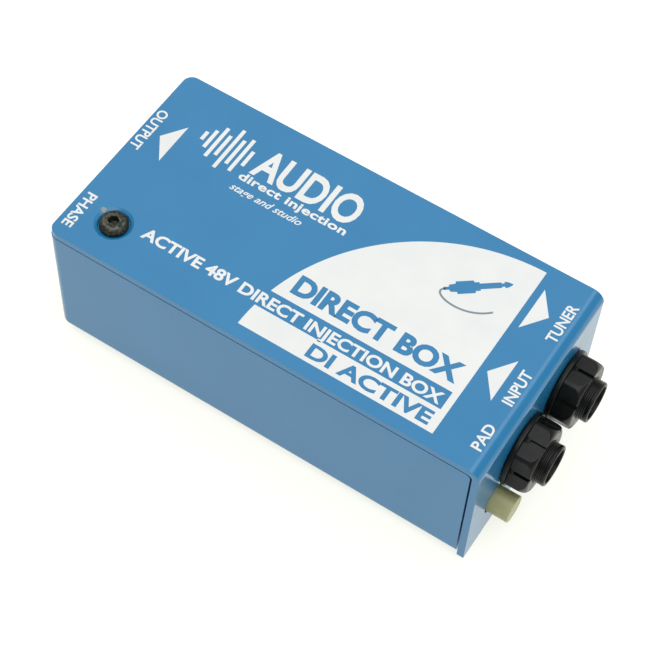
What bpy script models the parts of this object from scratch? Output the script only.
"""Direct injection box: a two-sheet steel case with its jacks, push switches, output socket and board.

Frame: metres, +Z up, origin at the centre of the rubber pad's underside. +X points to the jack end, and -Y
is the long side that faces the player.
"""

import math

import bmesh
import bpy
from mathutils import Vector

# Casing
CASE_LENGTH = 0.127
CASE_WIDTH = 0.062
CASE_HEIGHT = 0.043
SHEET = 0.002
BEND_RADIUS = 0.0034
TRAY_BEND_RADIUS = 0.0028
TRAY_CORNER_RADIUS = 0.0014
COVER_CORNER_RADIUS = 0.0028
COVER_LEFT_INSET = 0.00035
SEAM = 0.00035
END_SEAM = 0.0005
GAP = 0.0003
PAD_THICKNESS = 0.0012
PAD_INSET = 0.003
PAD_CORNER_RADIUS = 0.004

CASE_BOTTOM = PAD_THICKNESS + GAP
CASE_TOP = CASE_BOTTOM + CASE_HEIGHT
END_X = CASE_LENGTH / 2
INNER_END_X = END_X - SHEET
SIDE_Y = CASE_WIDTH / 2
TRAY_TOP = CASE_TOP - SHEET - SEAM

# Cover screw, with its pressed recess, the tray's tab below it and the threaded insert under the tab
SCREW_X = -0.0505
SCREW_Y = -0.0200
RECESS_RIM_RADIUS = 0.0050
RECESS_RADIUS = 0.0043
RECESS_SLOPE_DEPTH = 0.0005
RECESS_DEPTH = 0.0011
SCREW_HEAD_RADIUS = 0.0038
SCREW_HEAD_HEIGHT = 0.0022
SCREW_HEAD_EDGE = 0.0004
SCREW_HEAD_FLAT_RADIUS = 0.0021
SCREW_SHANK_RADIUS = 0.0019
SCREW_LENGTH = 0.0080
SCREW_SOCKET_RADIUS = 0.00144
SCREW_SOCKET_DEPTH = 0.0014
TAB_WIDTH = 0.013
TAB_REACH = 0.016
SHANK_HOLE_RADIUS = 0.0021
INSERT_RADIUS = 0.0036
INSERT_HEIGHT = 0.003

# Quarter-inch jacks in the right-hand end
JACK_HEIGHT = CASE_BOTTOM + 0.0233
JACK_Y = {"tuner_jack": 0.0140, "input_jack": -0.0079}
JACK_BODY_LENGTH = 0.024
JACK_BODY_WIDTH = 0.014
NOSE_RADIUS = 0.00575
NOSE_REACH = 0.0101
NOSE_MOUTH_RADIUS = 0.0048
NOSE_RIM_CHAMFER = 0.0004
NOSE_MOUTH_DEPTH = 0.0030
JACK_BORE_RADIUS = 0.0033
NOSE_HOLE_RADIUS = 0.0061
CAVITY_WIDTH = 0.0069
CAVITY_HEIGHT = 0.0096
CAVITY_FRONT = 0.004
NUT_FLANGE_RADIUS = 0.0102
NUT_FLANGE_THICKNESS = 0.0013
NUT_LENGTH = 0.0070
NUT_FLAT_RADIUS = 0.0089
NUT_CORNER_RADIUS = 0.0100
NUT_SHOULDER = 0.0025
NUT_RIM = 0.0004
NUT_RIM_RADIUS = 0.0090
NUT_FACE_RADIUS = 0.0083
NUT_FLATS = 6
NUT_TURN_DEG = {"tuner_jack": -4, "input_jack": 13}
NUT_BORE_RADIUS = 0.0060
NUT_SLOT_WIDTH = 0.0009
NUT_SLOT_DEPTH = 0.0008
NUT_SLOT_LENGTH = 0.0044
CONTACT_THICKNESS = 0.0004
CONTACT_WIDTH = 0.0022
CONTACT_OFFSET = 0.0016

# Push switches: pad at the right-hand end, phase at the left-hand end
SWITCH_Y = -0.0184
SWITCH_HEIGHT = CASE_BOTTOM + 0.0128
BUTTON_RADIUS = 0.0038
BUTTON_REACH = 0.0060
BUTTON_LENGTH = 0.0114
BUTTON_EDGE = 0.0003
BUTTON_HOLE_RADIUS = 0.0043
BUTTON_SOCKET = 0.0036
BUTTON_SOCKET_DEPTH = 0.0060
PLUNGER_SIZE = 0.0030
HOUSING_FRONT = 0.0099
HOUSING_LENGTH = 0.015
HOUSING_WIDTH = 0.0067
CHANNEL_SIZE = 0.0037
CHANNEL_DEPTH = 0.0130
PLUNGER_DEPTH = 0.0094
SPRING_RADIUS = 0.0026
SPRING_WIRE = 0.00015
SPRING_TURNS = 4

# Three-pin output socket in the left-hand end
SOCKET_Y = 0.0100
SOCKET_HEIGHT = CASE_BOTTOM + 0.0225
SOCKET_FLANGE_WIDTH = 0.026
SOCKET_FLANGE_HEIGHT = 0.031
SOCKET_FLANGE_THICKNESS = 0.0015
SOCKET_FLANGE_CORNER = 0.002
SOCKET_BARREL_RADIUS = 0.0116
SOCKET_CUP_RADIUS = 0.0094
SOCKET_BARREL_LENGTH = 0.0175
SOCKET_HOLE_RADIUS = 0.0120
INSERT_DISC_RADIUS = 0.0091
INSERT_DISC_DEPTH = 0.0150
INSERT_DISC_THICKNESS = 0.0042
PIN_RADIUS = 0.0012
PIN_HOLE_RADIUS = 0.0015
PIN_RECESS = 0.0020
PIN_CIRCLE_RADIUS = 0.0049
PIN_TAIL_RADIUS = 0.0010
PIN_TAIL_REACH = 0.0035
PIN_ANGLES = (45, 135, 270)
SOCKET_SCREW_OFFSET = (0.0095, 0.0120)
SOCKET_SCREW_HEAD_RADIUS = 0.0027
SOCKET_SCREW_RADIUS = 0.0013
SOCKET_SCREW_LENGTH = 0.0075
SOCKET_SCREW_HOLE_RADIUS = 0.00165

# Circuit board and what stands on it
BOARD_TOP = CASE_BOTTOM + 0.00915
BOARD_THICKNESS = 0.0016
BOARD_LENGTH = 0.110
BOARD_WIDTH = 0.0568
BOARD_SCREW_X = 0.046
BOARD_SCREW_Y = 0.0250
STANDOFF_RADIUS = 0.0024
BOARD_SCREW_RADIUS = 0.0013
BOARD_HOLE_RADIUS = 0.0016
BOARD_SCREW_HEAD_RADIUS = 0.0026
BOARD_SCREW_HEAD_HEIGHT = 0.0016
PART_FOOT = BOARD_TOP + GAP
WIRE_RADIUS = 0.0006
WIRE_POINTS = 12

ROUND_STEPS = 32
SMALL_STEPS = 16
DOME_STEPS = 6
CUT_MARGIN = 0.001
MERGE_DISTANCE = 0.000001


def clear_scene():
    for item in list(bpy.data.objects):
        bpy.data.objects.remove(item, do_unlink=True)


def make_collection(name):
    collection = bpy.data.collections.new(name)
    bpy.context.scene.collection.children.link(collection)
    return collection


clear_scene()
PARTS = make_collection("direct_injection_box")
CUTTERS = make_collection("cutters")


def make_material(name, color, roughness, metallic=0.0):
    material = bpy.data.materials.new(name)
    material.use_nodes = True
    shader = material.node_tree.nodes["Principled BSDF"]
    shader.inputs["Base Color"].default_value = (*color, 1.0)
    shader.inputs["Roughness"].default_value = roughness
    shader.inputs["Metallic"].default_value = metallic
    return material


BLUE_POWDER = make_material("blue_powder_coat", (0.045, 0.21, 0.47), 0.38)
BLACK_PLASTIC = make_material("black_nylon", (0.012, 0.012, 0.012), 0.45)
BLACK_STEEL = make_material("black_oxide_steel", (0.02, 0.02, 0.02), 0.4, 0.8)
RUBBER = make_material("black_rubber", (0.02, 0.02, 0.02), 0.9)
CREAM_PLASTIC = make_material("cream_plastic", (0.55, 0.53, 0.33), 0.4)
GREY_PLASTIC = make_material("dark_grey_plastic", (0.06, 0.06, 0.065), 0.5)
ZINC_STEEL = make_material("zinc_plated_steel", (0.62, 0.62, 0.6), 0.35, 1.0)
NICKEL = make_material("nickel_plate", (0.66, 0.64, 0.6), 0.25, 1.0)
SPRING_BRASS = make_material("spring_brass", (0.72, 0.55, 0.28), 0.3, 1.0)
BOARD_GREEN = make_material("solder_mask_green", (0.02, 0.16, 0.06), 0.35)
SLEEVE_BLUE = make_material("capacitor_sleeve", (0.02, 0.03, 0.12), 0.35)
FILM_RED = make_material("film_capacitor_case", (0.45, 0.06, 0.04), 0.4)
RESISTOR_TAN = make_material("resistor_lacquer", (0.55, 0.42, 0.26), 0.5)
WIRE_INSULATION = make_material("wire_insulation", (0.5, 0.04, 0.03), 0.45)


def place(name, data, material, location=(0, 0, 0), rotation=(0, 0, 0)):
    """Puts mesh or curve data in the parts collection, or among the cutters when it has no material."""
    item = bpy.data.objects.new(name, data)
    item.location = location
    item.rotation_euler = rotation
    if material:
        data.materials.append(material)
        PARTS.objects.link(item)
    else:
        CUTTERS.objects.link(item)
        item.hide_render = True
        item.display_type = "WIRE"
    return item


def mesh_from(name, bm):
    mesh = bpy.data.meshes.new(name)
    bm.to_mesh(mesh)
    bm.free()
    return mesh


def block(name, low, high, material=None, bevel=0.0, segments=2):
    """A box between two corners, with rounded edges where bevel is given."""
    size = Vector(high) - Vector(low)
    bm = bmesh.new()
    bmesh.ops.create_cube(bm, size=1.0)
    bmesh.ops.scale(bm, vec=size, verts=bm.verts)
    item = place(name, mesh_from(name, bm), material, (Vector(low) + Vector(high)) / 2)
    if bevel:
        rounding = item.modifiers.new("rounding", "BEVEL")
        rounding.width = bevel
        rounding.segments = segments
    return item


AXIS_TURN = {
    "+Z": (0, 0, 0),
    "-Z": (math.pi, 0, 0),
    "+X": (0, math.pi / 2, 0),
    "-X": (0, -math.pi / 2, 0),
}


def turned(name, profile, location, axis="+Z", material=None, steps=ROUND_STEPS, closed=False):
    """Turns a profile of (radius, height) points about an axis; heights run down the outer side."""
    bm = bmesh.new()
    points = [bm.verts.new((radius, 0, height)) for radius, height in profile]
    for first, second in zip(points, points[1:]):
        bm.edges.new((first, second))
    if closed:
        bm.edges.new((points[-1], points[0]))
    item = place(name, mesh_from(name, bm), material, location, AXIS_TURN[axis])
    screw = item.modifiers.new("turn", "SCREW")
    screw.steps = steps
    screw.render_steps = steps
    screw.use_merge_vertices = True
    screw.merge_threshold = MERGE_DISTANCE
    return item


def rod(name, radius, low, high, location, axis="+Z", material=None, steps=ROUND_STEPS, edge=0.0):
    """A plain round bar between two heights along its axis, its upper edge chamfered by edge."""
    if edge:
        profile = [(0, high), (radius - edge, high), (radius, high - edge), (radius, low), (0, low)]
    else:
        profile = [(0, high), (radius, high), (radius, low), (0, low)]
    return turned(name, profile, location, axis, material, steps)


def ring(name, outer, inner, low, high, location, axis="+Z", material=None, steps=ROUND_STEPS):
    profile = [(outer, high), (outer, low), (inner, low), (inner, high)]
    return turned(name, profile, location, axis, material, steps, closed=True)


def cut(target, cutter, operation="DIFFERENCE"):
    modifier = target.modifiers.new(cutter.name, "BOOLEAN")
    modifier.operation = operation
    modifier.solver = "EXACT"
    modifier.object = cutter


def fuse(target, addition):
    cut(target, addition, "UNION")


def plate(name, outline, thickness, location, rotation, material=None):
    """A flat outline of (x, y) points given a thickness on both sides of its plane."""
    bm = bmesh.new()
    bm.faces.new([bm.verts.new((x, y, 0)) for x, y in outline])
    item = place(name, mesh_from(name, bm), material, location, rotation)
    solid = item.modifiers.new("thickness", "SOLIDIFY")
    solid.thickness = thickness
    solid.offset = 0
    return item


def strip(name, path, y, width, thickness, material):
    """A bent metal strip: a path of (x, z) points carried across a width in Y, then given a thickness."""
    bm = bmesh.new()
    near = [bm.verts.new((x, y - width / 2, z)) for x, z in path]
    far = [bm.verts.new((x, y + width / 2, z)) for x, z in path]
    for i in range(len(path) - 1):
        bm.faces.new((near[i], near[i + 1], far[i + 1], far[i]))
    item = place(name, mesh_from(name, bm), material)
    solid = item.modifiers.new("thickness", "SOLIDIFY")
    solid.thickness = thickness
    solid.offset = 0
    return item


def tube(name, points, radius, material):
    """A round wire along a list of points."""
    curve = bpy.data.curves.new(name, "CURVE")
    curve.dimensions = "3D"
    curve.bevel_depth = radius
    curve.bevel_resolution = 2
    curve.use_fill_caps = True
    spline = curve.splines.new("POLY")
    spline.points.add(len(points) - 1)
    for target, point in zip(spline.points, points):
        target.co = (*point, 1.0)
    return place(name, curve, material)


def arc(centre_x, centre_z, radius, start_deg, end_deg, steps):
    """Points of (x, z) along a round bend."""
    angles = [math.radians(start_deg + (end_deg - start_deg) * i / steps) for i in range(steps + 1)]
    return [(centre_x + radius * math.cos(a), centre_z + radius * math.sin(a)) for a in angles]


def add_top_cover():
    """One sheet folded over the right-hand end, with its left corners rounded and its holes cut."""
    left = -END_X + COVER_LEFT_INSET
    path = [(left, CASE_TOP)]
    path += arc(END_X - BEND_RADIUS, CASE_TOP - BEND_RADIUS, BEND_RADIUS, 90, 0, 6)
    path.append((END_X, CASE_BOTTOM))
    bm = bmesh.new()
    near = [bm.verts.new((x, -SIDE_Y, z)) for x, z in path]
    far = [bm.verts.new((x, SIDE_Y, z)) for x, z in path]
    for i in range(len(path) - 1):
        bm.faces.new((near[i], near[i + 1], far[i + 1], far[i]))
    bmesh.ops.bevel(bm, geom=[near[0], far[0]], offset=COVER_CORNER_RADIUS, segments=5, profile=0.5,
                    affect="VERTICES")
    cover = place("top_cover", mesh_from("top_cover", bm), BLUE_POWDER)
    solid = cover.modifiers.new("sheet", "SOLIDIFY")
    solid.thickness = SHEET
    solid.offset = -1
    solid.use_even_offset = True
    recess = [(0, CUT_MARGIN), (RECESS_RIM_RADIUS, CUT_MARGIN), (RECESS_RIM_RADIUS, 0),
              (RECESS_RADIUS, -RECESS_SLOPE_DEPTH), (RECESS_RADIUS, -RECESS_DEPTH),
              (SHANK_HOLE_RADIUS, -RECESS_DEPTH), (SHANK_HOLE_RADIUS, -SHEET - CUT_MARGIN),
              (0, -SHEET - CUT_MARGIN)]
    cut(cover, turned("cover_recess_cutter", recess, (SCREW_X, SCREW_Y, CASE_TOP)))
    for name, y in JACK_Y.items():
        cut(cover, rod(name + "_hole_cutter", NOSE_HOLE_RADIUS, -SHEET - CUT_MARGIN, CUT_MARGIN,
                       (END_X, y, JACK_HEIGHT), "+X"))
    cut(cover, rod("pad_button_hole_cutter", BUTTON_HOLE_RADIUS, -SHEET - CUT_MARGIN, CUT_MARGIN,
                   (END_X, SWITCH_Y, SWITCH_HEIGHT), "+X"))


def add_base_tray():
    """The floor, both long sides and the left-hand end, folded from one sheet."""
    low = Vector((-END_X, -SIDE_Y, CASE_BOTTOM))
    high = Vector((INNER_END_X - END_SEAM, SIDE_Y, TRAY_TOP))
    bm = bmesh.new()
    bmesh.ops.create_cube(bm, size=1.0)
    bmesh.ops.scale(bm, vec=high - low, verts=bm.verts)
    bmesh.ops.translate(bm, vec=(low + high) / 2, verts=bm.verts)
    open_faces = [face for face in bm.faces if face.normal.z > 0.5 or face.normal.x > 0.5]
    bmesh.ops.delete(bm, geom=open_faces, context="FACES")
    folds = [edge for edge in bm.edges if len(edge.link_faces) == 2]
    bmesh.ops.bevel(bm, geom=folds, offset=TRAY_BEND_RADIUS, segments=4, profile=0.5, affect="EDGES")
    under_bend = [vert for vert in bm.verts if vert.co.x > high.x - GAP and vert.co.z > high.z - GAP]
    bmesh.ops.bevel(bm, geom=under_bend, offset=TRAY_CORNER_RADIUS, segments=3, profile=0.5,
                    affect="VERTICES")
    tray = place("base_tray", mesh_from("base_tray", bm), BLUE_POWDER)
    solid = tray.modifiers.new("sheet", "SOLIDIFY")
    solid.thickness = SHEET
    solid.offset = -1
    solid.use_even_offset = True
    tab_top = TRAY_TOP - SEAM
    tab = block("screw_tab", (SCREW_X - TAB_WIDTH / 2, -SIDE_Y + SHEET / 2, tab_top - SHEET),
                (SCREW_X + TAB_WIDTH / 2, -SIDE_Y + SHEET + TAB_REACH, tab_top))
    fuse(tray, tab)
    cut(tray, rod("tab_hole_cutter", SHANK_HOLE_RADIUS, -SHEET - CUT_MARGIN, CUT_MARGIN,
                  (SCREW_X, SCREW_Y, tab_top), steps=SMALL_STEPS))
    cut(tray, rod("socket_hole_cutter", SOCKET_HOLE_RADIUS, -SHEET - CUT_MARGIN, CUT_MARGIN,
                  (-END_X, SOCKET_Y, SOCKET_HEIGHT), "-X"))
    cut(tray, rod("phase_button_hole_cutter", BUTTON_HOLE_RADIUS, -SHEET - CUT_MARGIN, CUT_MARGIN,
                  (-END_X, SWITCH_Y, SWITCH_HEIGHT), "-X"))
    for label, side in (("upper", 1), ("lower", -1)):
        y, z = socket_screw_place(side)
        cut(tray, rod(f"tray_{label}_screw_cutter", SOCKET_SCREW_HOLE_RADIUS, -SHEET - CUT_MARGIN, CUT_MARGIN,
                      (-END_X, y, z), "-X", steps=SMALL_STEPS))


def rounded_rectangle(half_length, half_width, radius, steps=5):
    """The outline of a rectangle with quarter-circle corners."""
    corners = ((1, 1, 0), (-1, 1, 90), (-1, -1, 180), (1, -1, 270))
    outline = []
    for side_x, side_y, start in corners:
        centre = (side_x * (half_length - radius), side_y * (half_width - radius))
        outline += arc(*centre, radius, start, start + 90, steps)
    return outline


def add_base_pad():
    outline = rounded_rectangle(END_X - PAD_INSET, SIDE_Y - PAD_INSET, PAD_CORNER_RADIUS)
    plate("base_pad", outline, PAD_THICKNESS, (0, 0, PAD_THICKNESS / 2), (0, 0, 0), RUBBER)


def add_cover_screw():
    """A domed socket screw standing in a recess of the top, and the threaded insert it turns in."""
    seat = CASE_TOP - RECESS_DEPTH + GAP
    head_top = seat + SCREW_HEAD_HEIGHT
    profile = [(0, SCREW_HEAD_HEIGHT)]
    dome_height = SCREW_HEAD_HEIGHT - SCREW_HEAD_EDGE
    for i in range(DOME_STEPS + 1):
        turn = math.radians(90) * i / DOME_STEPS
        reach = SCREW_HEAD_FLAT_RADIUS + (SCREW_HEAD_RADIUS - SCREW_HEAD_FLAT_RADIUS) * math.sin(turn)
        profile.append((reach, SCREW_HEAD_EDGE + dome_height * math.cos(turn)))
    profile += [(SCREW_HEAD_RADIUS, 0), (SCREW_SHANK_RADIUS, 0), (SCREW_SHANK_RADIUS, -SCREW_LENGTH),
                (0, -SCREW_LENGTH)]
    screw = turned("cover_screw", profile, (SCREW_X, SCREW_Y, seat), material=BLACK_STEEL,
                   steps=SMALL_STEPS * 2)
    hexagon = rod("cover_screw_socket_cutter", SCREW_SOCKET_RADIUS, -SCREW_SOCKET_DEPTH, CUT_MARGIN,
                  (SCREW_X, SCREW_Y, head_top), steps=6)
    cut(screw, hexagon)
    top = TRAY_TOP - SEAM - SHEET - GAP
    ring("cover_clinch_nut", INSERT_RADIUS, SHANK_HOLE_RADIUS, -INSERT_HEIGHT, 0, (SCREW_X, SCREW_Y, top),
         material=ZINC_STEEL, steps=SMALL_STEPS)


def add_jack(name, y):
    """A jack: moulded body with a hollow nose, a nut outside the panel, and two contact springs."""
    centre = (INNER_END_X, y, JACK_HEIGHT)
    half = JACK_BODY_WIDTH / 2
    front = INNER_END_X - GAP
    rear = INNER_END_X - JACK_BODY_LENGTH
    body = block(name + "_body", (rear, y - half, JACK_HEIGHT - half), (front, y + half, JACK_HEIGHT + half),
                 BLACK_PLASTIC)
    tip = SHEET + NOSE_REACH
    rim = NOSE_RADIUS - NOSE_RIM_CHAMFER
    root = -SHEET
    nose_profile = [(0, tip), (rim, tip), (NOSE_RADIUS, tip - NOSE_RIM_CHAMFER), (NOSE_RADIUS, root),
                    (0, root)]
    fuse(body, turned(name + "_nose", nose_profile, centre, "+X"))
    mouth = NOSE_MOUTH_RADIUS
    bore = JACK_BORE_RADIUS
    bore_end = -CAVITY_FRONT - CUT_MARGIN
    bore_profile = [(0, tip + CUT_MARGIN), (mouth, tip + CUT_MARGIN), (mouth, tip - CUT_MARGIN),
                    (bore, tip - NOSE_MOUTH_DEPTH), (bore, bore_end), (0, bore_end)]
    cut(body, turned(name + "_bore_cutter", bore_profile, centre, "+X"))
    cut(body, block(name + "_cavity_cutter",
                    (rear - CUT_MARGIN, y - CAVITY_WIDTH / 2, JACK_HEIGHT - CAVITY_HEIGHT / 2),
                    (INNER_END_X - CAVITY_FRONT, y + CAVITY_WIDTH / 2, JACK_HEIGHT + CAVITY_HEIGHT / 2)))
    add_jack_nut(name, y)
    add_jack_contacts(name, y)


def hexagon_outline(turn):
    """A hexagon whose corners are turned down to a circle; turn is the angle of a flat's normal."""
    step = math.tau / NUT_FLATS
    count = NUT_FLATS * 8
    outline = []
    for i in range(count):
        angle = math.tau * i / count
        from_flat = (angle + step / 2) % step - step / 2
        reach = min(NUT_FLAT_RADIUS / math.cos(from_flat), NUT_CORNER_RADIUS)
        outline.append((reach * math.cos(turn + angle), reach * math.sin(turn + angle)))
    return outline


def add_jack_nut(name, y):
    """A round flange against the panel, then a hexagonal grip with a slot in each flat and a turned front."""
    nut_rear = END_X + GAP
    nut_front = nut_rear + NUT_LENGTH
    centre = (nut_rear, y, JACK_HEIGHT)
    turn = math.radians(NUT_TURN_DEG[name])
    nut = rod(name + "_nut", NUT_FLANGE_RADIUS, 0, NUT_FLANGE_THICKNESS, centre, "+X", BLACK_PLASTIC)
    grip_length = NUT_LENGTH - NUT_FLANGE_THICKNESS / 2
    grip_centre = (nut_front - grip_length / 2, y, JACK_HEIGHT)
    fuse(nut, plate(name + "_nut_grip", hexagon_outline(turn), grip_length, grip_centre, AXIS_TURN["+X"]))
    cut(nut, rod(name + "_nut_bore_cutter", NUT_BORE_RADIUS, -CUT_MARGIN, NUT_LENGTH + CUT_MARGIN, centre,
                 "+X"))
    outside = NUT_FLANGE_RADIUS + CUT_MARGIN
    shoulder = NUT_LENGTH - NUT_SHOULDER
    dome = [(0, NUT_LENGTH + CUT_MARGIN), (NUT_FACE_RADIUS, NUT_LENGTH + CUT_MARGIN),
            (NUT_FACE_RADIUS, NUT_LENGTH), (NUT_RIM_RADIUS, NUT_LENGTH - NUT_RIM),
            (NUT_CORNER_RADIUS + GAP, shoulder), (outside, shoulder), (outside, -CUT_MARGIN), (0, -CUT_MARGIN)]
    cut(nut, turned(name + "_nut_dome_cutter", dome, centre, "+X"), "INTERSECT")
    for i in range(NUT_FLATS):
        angle = turn + math.tau * i / NUT_FLATS
        across = y - NUT_FLAT_RADIUS * math.sin(angle)
        up = JACK_HEIGHT + NUT_FLAT_RADIUS * math.cos(angle)
        half = Vector((NUT_SLOT_LENGTH, NUT_SLOT_WIDTH / 2, NUT_SLOT_DEPTH))
        slot = block(f"{name}_nut_slot_cutter_{i}", -half, half)
        slot.location = (nut_front, across, up)
        slot.rotation_euler = (angle, 0, 0)
        cut(nut, slot)


def add_jack_contacts(name, y):
    """Each contact rises from the board behind the body, then runs forward and bends inward."""
    tail_x = INNER_END_X - JACK_BODY_LENGTH - 0.0006
    run = CAVITY_HEIGHT / 2 - 0.0006
    tip_path = [(-0.0170, run), (-0.0145, 0.0029), (-0.0125, 0.0037)]
    sleeve_path = [(-0.0100, -run), (-0.0075, -0.0029), (-0.0055, -0.0037)]
    for label, path, side in (("tip", tip_path, 1), ("sleeve", sleeve_path, -1)):
        points = [(tail_x, PART_FOOT), (tail_x, JACK_HEIGHT + side * run)]
        points += [(INNER_END_X + x, JACK_HEIGHT + z) for x, z in path]
        strip(f"{name.split('_')[0]}_{label}_spring", points, y + side * CONTACT_OFFSET, CONTACT_WIDTH,
              CONTACT_THICKNESS, SPRING_BRASS)


def add_push_switch(label, side):
    """A push switch behind one end: side is +1 for the right-hand end and -1 for the left-hand end."""
    axis = "+X" if side > 0 else "-X"
    outside = (side * END_X, SWITCH_Y, SWITCH_HEIGHT)
    inner_end = BUTTON_REACH - BUTTON_LENGTH
    button = rod(label + "_button", BUTTON_RADIUS, inner_end, BUTTON_REACH, outside, axis, CREAM_PLASTIC,
                 edge=BUTTON_EDGE)
    half_socket = BUTTON_SOCKET / 2
    cut(button, along_x(label + "_button_socket_cutter", side, END_X + inner_end - CUT_MARGIN,
                        END_X + inner_end + BUTTON_SOCKET_DEPTH, half_socket))
    front = END_X - HOUSING_FRONT
    housing = along_x(label + "_switch_housing", side, front - HOUSING_LENGTH, front, HOUSING_WIDTH / 2,
                      GREY_PLASTIC)
    cut(housing, along_x(label + "_switch_channel_cutter", side, front - CHANNEL_DEPTH, front + CUT_MARGIN,
                         CHANNEL_SIZE / 2))
    stem_end = END_X + inner_end + BUTTON_SOCKET_DEPTH - GAP
    along_x(label + "_switch_plunger", side, front - PLUNGER_DEPTH, stem_end, PLUNGER_SIZE / 2, GREY_PLASTIC)
    start = front + GAP + SPRING_WIRE
    end = END_X + inner_end - GAP - SPRING_WIRE
    tube(label + "_switch_spring", helix(side, start, end), SPRING_WIRE, ZINC_STEEL)


def along_x(name, side, near, far, half, material=None):
    """A square bar on a switch's axis between two distances from the middle of the case."""
    low_x, high_x = sorted((side * near, side * far))
    return block(name, (low_x, SWITCH_Y - half, SWITCH_HEIGHT - half),
                 (high_x, SWITCH_Y + half, SWITCH_HEIGHT + half), material)


def helix(side, start, end):
    """The centre line of a coil spring along X on the switch's axis."""
    count = SPRING_TURNS * 10
    points = []
    for i in range(count + 1):
        angle = math.tau * SPRING_TURNS * i / count
        x = start + (end - start) * i / count
        points.append((side * x, SWITCH_Y + SPRING_RADIUS * math.cos(angle),
                       SWITCH_HEIGHT + SPRING_RADIUS * math.sin(angle)))
    return points


def socket_screw_place(side):
    """The Y and Z of a screw in the output socket's flange: side is +1 for the upper one."""
    return SOCKET_Y + side * SOCKET_SCREW_OFFSET[0], SOCKET_HEIGHT + side * SOCKET_SCREW_OFFSET[1]


def add_output_socket():
    """A three-pin male socket: a flanged barrel, the insert in its floor, the pins and the flange screws."""
    face_x = -END_X - GAP - SOCKET_FLANGE_THICKNESS
    centre = (-END_X - GAP, SOCKET_Y, SOCKET_HEIGHT)
    outline = rounded_rectangle(SOCKET_FLANGE_HEIGHT / 2, SOCKET_FLANGE_WIDTH / 2, SOCKET_FLANGE_CORNER, 3)
    shell = plate("output_socket_shell", outline, SOCKET_FLANGE_THICKNESS,
                  (face_x + SOCKET_FLANGE_THICKNESS / 2, SOCKET_Y, SOCKET_HEIGHT), AXIS_TURN["+X"], NICKEL)
    fuse(shell, rod("socket_barrel", SOCKET_BARREL_RADIUS, -SOCKET_BARREL_LENGTH, SOCKET_FLANGE_THICKNESS / 2,
                    centre, "-X"))
    cut(shell, rod("socket_cup_cutter", SOCKET_CUP_RADIUS, -SOCKET_BARREL_LENGTH - CUT_MARGIN,
                   SOCKET_FLANGE_THICKNESS + CUT_MARGIN, centre, "-X"))
    for label, side in (("upper", 1), ("lower", -1)):
        y, z = socket_screw_place(side)
        add_socket_screw(shell, label, (face_x, y, z))
    disc_face = SOCKET_FLANGE_THICKNESS - INSERT_DISC_DEPTH
    insert = rod("output_socket_insert", INSERT_DISC_RADIUS, disc_face - INSERT_DISC_THICKNESS, disc_face,
                 centre, "-X", BLACK_PLASTIC)
    for number, angle in enumerate(PIN_ANGLES, start=1):
        pin_centre = socket_pin_place(angle)
        hole_end = -SOCKET_BARREL_LENGTH - 2 * CUT_MARGIN
        cut(insert, rod(f"pin_{number}_hole_cutter", PIN_HOLE_RADIUS, hole_end, 0, pin_centre, "-X",
                        steps=SMALL_STEPS))
        add_output_pin(number, pin_centre, disc_face - INSERT_DISC_THICKNESS)


def add_socket_screw(shell, label, head_centre):
    """A countersunk screw whose head is level with the flange's face, and the hole that it sits in."""
    head = SOCKET_SCREW_HEAD_RADIUS
    shank = SOCKET_SCREW_RADIUS
    end = -SOCKET_SCREW_LENGTH
    profile = [(0, 0), (head, 0), (shank, shank - head), (shank, end), (0, end)]
    turned(f"output_screw_{label}", profile, head_centre, "-X", ZINC_STEEL, SMALL_STEPS)
    mouth = head + GAP * 1.5
    hole = SOCKET_SCREW_HOLE_RADIUS
    depth = SOCKET_FLANGE_THICKNESS + CUT_MARGIN
    cutter = [(0, CUT_MARGIN), (mouth + CUT_MARGIN, CUT_MARGIN), (hole, hole - mouth), (hole, -depth),
              (0, -depth)]
    cut(shell, turned(f"shell_{label}_screw_cutter", cutter, head_centre, "-X", steps=SMALL_STEPS))


def socket_pin_place(angle):
    y = SOCKET_Y + PIN_CIRCLE_RADIUS * math.cos(math.radians(angle))
    z = SOCKET_HEIGHT + PIN_CIRCLE_RADIUS * math.sin(math.radians(angle))
    return (-END_X - GAP, y, z)


def add_output_pin(number, centre, insert_rear):
    """A pin with a rounded nose in the cup and a thinner solder tail behind the insert."""
    nose = SOCKET_FLANGE_THICKNESS - PIN_RECESS
    profile = [(0, nose)]
    for step in range(1, 4):
        angle = math.pi / 2 * step / 3
        profile.append((PIN_RADIUS * math.sin(angle), nose - PIN_RADIUS * (1 - math.cos(angle))))
    profile += [(PIN_RADIUS, insert_rear), (PIN_TAIL_RADIUS, insert_rear),
                (PIN_TAIL_RADIUS, insert_rear - PIN_TAIL_REACH), (0, insert_rear - PIN_TAIL_REACH)]
    turned(f"output_pin_{number}", profile, centre, "-X", NICKEL, SMALL_STEPS)
    tail_x = centre[0] - (insert_rear - PIN_TAIL_REACH) + GAP
    add_output_wire(number, (tail_x, centre[1], centre[2]))


def add_output_wire(number, start):
    """A lead from a pin's tail: straight out along X, then down to the board on one smooth bend."""
    start = Vector(start)
    end = Vector((start.x + 0.009, start.y, PART_FOOT))
    controls = (start, start + Vector((0.009, 0, 0)), end + Vector((0, 0, 0.010)), end)
    points = []
    for i in range(WIRE_POINTS + 1):
        t = i / WIRE_POINTS
        weights = ((1 - t) ** 3, 3 * t * (1 - t) ** 2, 3 * t * t * (1 - t), t ** 3)
        points.append(sum((w * c for w, c in zip(weights, controls)), Vector()))
    tube(f"output_wire_{number}", points, WIRE_RADIUS, WIRE_INSULATION)


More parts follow.
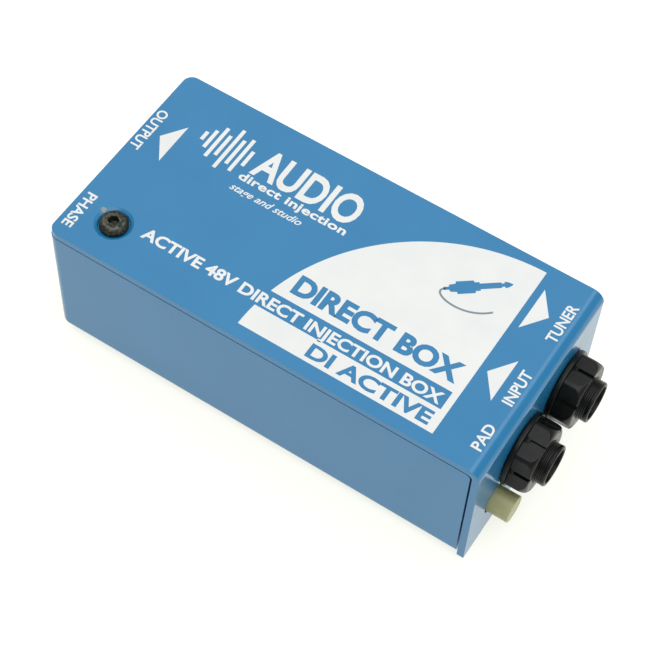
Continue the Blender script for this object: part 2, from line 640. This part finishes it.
def add_circuit_board():
    """The board on four standoffs, each with its screw."""
    board = block("circuit_board", (-BOARD_LENGTH / 2, -BOARD_WIDTH / 2, BOARD_TOP - BOARD_THICKNESS),
                  (BOARD_LENGTH / 2, BOARD_WIDTH / 2, BOARD_TOP), BOARD_GREEN)
    standoff_foot = CASE_BOTTOM + SHEET + GAP
    standoff_top = BOARD_TOP - BOARD_THICKNESS - GAP
    corners = ((1, 1), (1, -1), (-1, 1), (-1, -1))
    for number, (side_x, side_y) in enumerate(corners, start=1):
        x = side_x * BOARD_SCREW_X
        y = side_y * BOARD_SCREW_Y
        hole = rod(f"board_hole_cutter_{number}", BOARD_HOLE_RADIUS, -BOARD_THICKNESS - CUT_MARGIN,
                   CUT_MARGIN, (x, y, BOARD_TOP), steps=SMALL_STEPS)
        cut(board, hole)
        ring(f"board_standoff_{number}", STANDOFF_RADIUS, BOARD_HOLE_RADIUS, standoff_foot, standoff_top,
             (x, y, 0), material=ZINC_STEEL, steps=SMALL_STEPS)
        head = BOARD_SCREW_HEAD_HEIGHT
        shank_end = standoff_foot + CUT_MARGIN - PART_FOOT
        profile = [(0, head), (BOARD_SCREW_HEAD_RADIUS * 0.8, head), (BOARD_SCREW_HEAD_RADIUS, head * 0.6),
                   (BOARD_SCREW_HEAD_RADIUS, 0), (BOARD_SCREW_RADIUS, 0), (BOARD_SCREW_RADIUS, shank_end),
                   (0, shank_end)]
        turned(f"board_screw_{number}", profile, (x, y, PART_FOOT), material=ZINC_STEEL, steps=SMALL_STEPS)


def add_supply_capacitor(number, x, y):
    """A standing electrolytic capacitor with the crimped neck near its foot."""
    radius = 0.004
    height = 0.011
    neck = 0.0018
    profile = [(0, height), (radius - 0.0006, height), (radius, height - 0.0006), (radius, neck + 0.0005),
               (radius - 0.0005, neck), (radius, neck - 0.0005), (radius, 0), (0, 0)]
    turned(f"supply_capacitor_{number}", profile, (x, y, PART_FOOT), material=SLEEVE_BLUE, steps=SMALL_STEPS)


def add_coupling_capacitor(number, x, y):
    """A rectangular film capacitor."""
    half = Vector((0.0065, 0.0025, 0.0050))
    centre = Vector((x, y, PART_FOOT + half.z))
    block(f"coupling_capacitor_{number}", centre - half, centre + half, FILM_RED, bevel=0.0005)


def add_transistor(number, x, y):
    """A small moulded transistor, round with one flat side."""
    radius = 0.0023
    outline = arc(0, 0, radius, -50, 230, 12)
    plate(f"transistor_{number}", outline, 0.0046, (x, y, PART_FOOT + 0.0023), (0, 0, 0), BLACK_PLASTIC)


def add_resistor(number, x, y):
    """An axial resistor lying along X: a body with swollen ends and short straight leads."""
    lead = 0.0003
    body = 0.0010
    end = 0.0012
    upper = [(0, 0.0050), (lead, 0.0050), (lead, 0.0032), (end, 0.0030), (end, 0.0018), (body, 0.0014)]
    profile = upper + [(radius, -height) for radius, height in reversed(upper)]
    turned(f"resistor_{number}", profile, (x, y, PART_FOOT + end), "+X", RESISTOR_TAN, SMALL_STEPS)


def add_board_parts():
    for number, x in enumerate((-0.021, -0.009), start=1):
        add_supply_capacitor(number, x, -0.013)
    for number, y in enumerate((-0.014, 0.004), start=1):
        add_coupling_capacitor(number, 0.010, y)
    for number, y in enumerate((-0.008, 0.002), start=1):
        add_transistor(number, 0.025, y)
    for number in range(1, 5):
        add_resistor(number, -0.024 + 0.0125 * number, 0.018)
    half = Vector((0.0047, 0.0032, 0.0018))
    centre = Vector((-0.0140, 0.0080, PART_FOOT + half.z))
    block("amplifier_chip", centre - half, centre + half, BLACK_PLASTIC, bevel=0.0003, segments=1)


add_top_cover()
add_base_tray()
add_base_pad()
add_cover_screw()
for jack_name, jack_y in JACK_Y.items():
    add_jack(jack_name, jack_y)
add_push_switch("pad", 1)
add_push_switch("phase", -1)
add_output_socket()
add_circuit_board()
add_board_parts()
